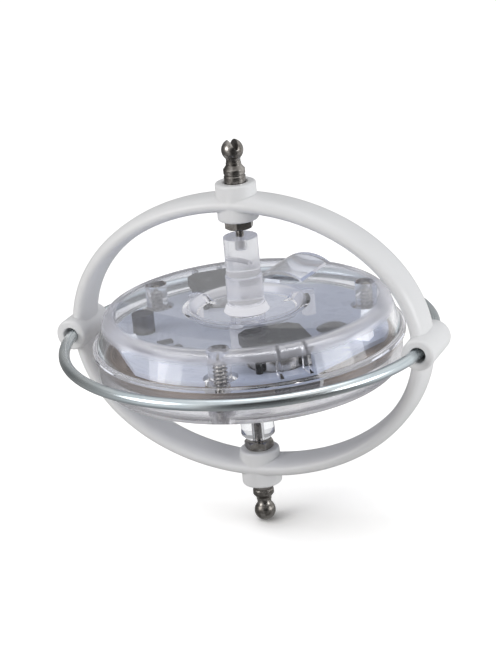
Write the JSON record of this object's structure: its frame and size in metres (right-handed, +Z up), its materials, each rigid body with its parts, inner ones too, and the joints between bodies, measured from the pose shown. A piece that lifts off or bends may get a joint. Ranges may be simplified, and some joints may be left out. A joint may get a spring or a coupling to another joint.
{
  "type": "demonstration gyroscope",
  "caption": "Gyroscope with a clear, lit rotor that spins in a white oval frame with a wire hoop and ball-ended steel studs.",
  "frame": {"origin": "lowest point of the lower stud's ball, on the spin axis", "axes": "+Z up along the spin axis, X across the oval frame towards a tube boss, Y along the tube bosses and through the frame"},
  "size_m": [0.0852, 0.0808, 0.0854],
  "materials": {
    "white_plastic": "glossy white",
    "hoop_steel": "zinc plated",
    "stud_steel": "turned, dark",
    "nut_steel": "plated",
    "clear_plastic": "clear, polished",
    "screw_steel": "plated",
    "weight_steel": "bronze-tinted plating",
    "board_laminate": "pale solder mask",
    "holder_black": "satin black",
    "cell_steel": "nickel plated",
    "contact_brass": "spring bronze",
    "lamp_white": "white case",
    "chip_resin": "black resin",
    "resistor_black": "black ceramic",
    "switch_metal": "dark plated",
    "ball_steel": "polished"
  },
  "bodies": {
    "frame": {"ring_frame": "white_plastic", "wire_hoop": "hoop_steel", "upper_stud": "stud_steel", "lower_stud": "stud_steel", "upper_lock_nut": "nut_steel", "lower_lock_nut": "nut_steel"},
    "rotor": {"rotor_upper_shell": "clear_plastic", "rotor_lower_shell": "clear_plastic", "upper_axle_cap": "clear_plastic", "lower_axle_cap": "clear_plastic", "rotor_screws": "screw_steel", "weight_ring": "weight_steel", "circuit_board": "board_laminate", "cell_holder_front": "holder_black", "button_cells_front": "cell_steel", "cell_holder_rear": "holder_black", "button_cells_rear": "cell_steel", "upper_contacts": "contact_brass", "lower_contacts": "contact_brass", "lamps": "lamp_white", "resistors": "resistor_black", "controller_chip": "chip_resin", "spin_switch_base": "holder_black", "spin_switch_can": "switch_metal"},
    "switch_ball": {"spin_switch_ball": "ball_steel"}
  },
  "joints": [
    {"name": "rotor_spin", "type": "hinge", "parent": "frame", "child": "rotor", "pos_m": [0, 0, 0.04275], "axis": [0, 0, 1], "continuous": true},
    {"name": "switch_ball_slide", "type": "slide", "parent": "rotor", "child": "switch_ball", "axis": [-0.9563, -0.2924, 0], "range_m": [0, 0.0018]}
  ]
}
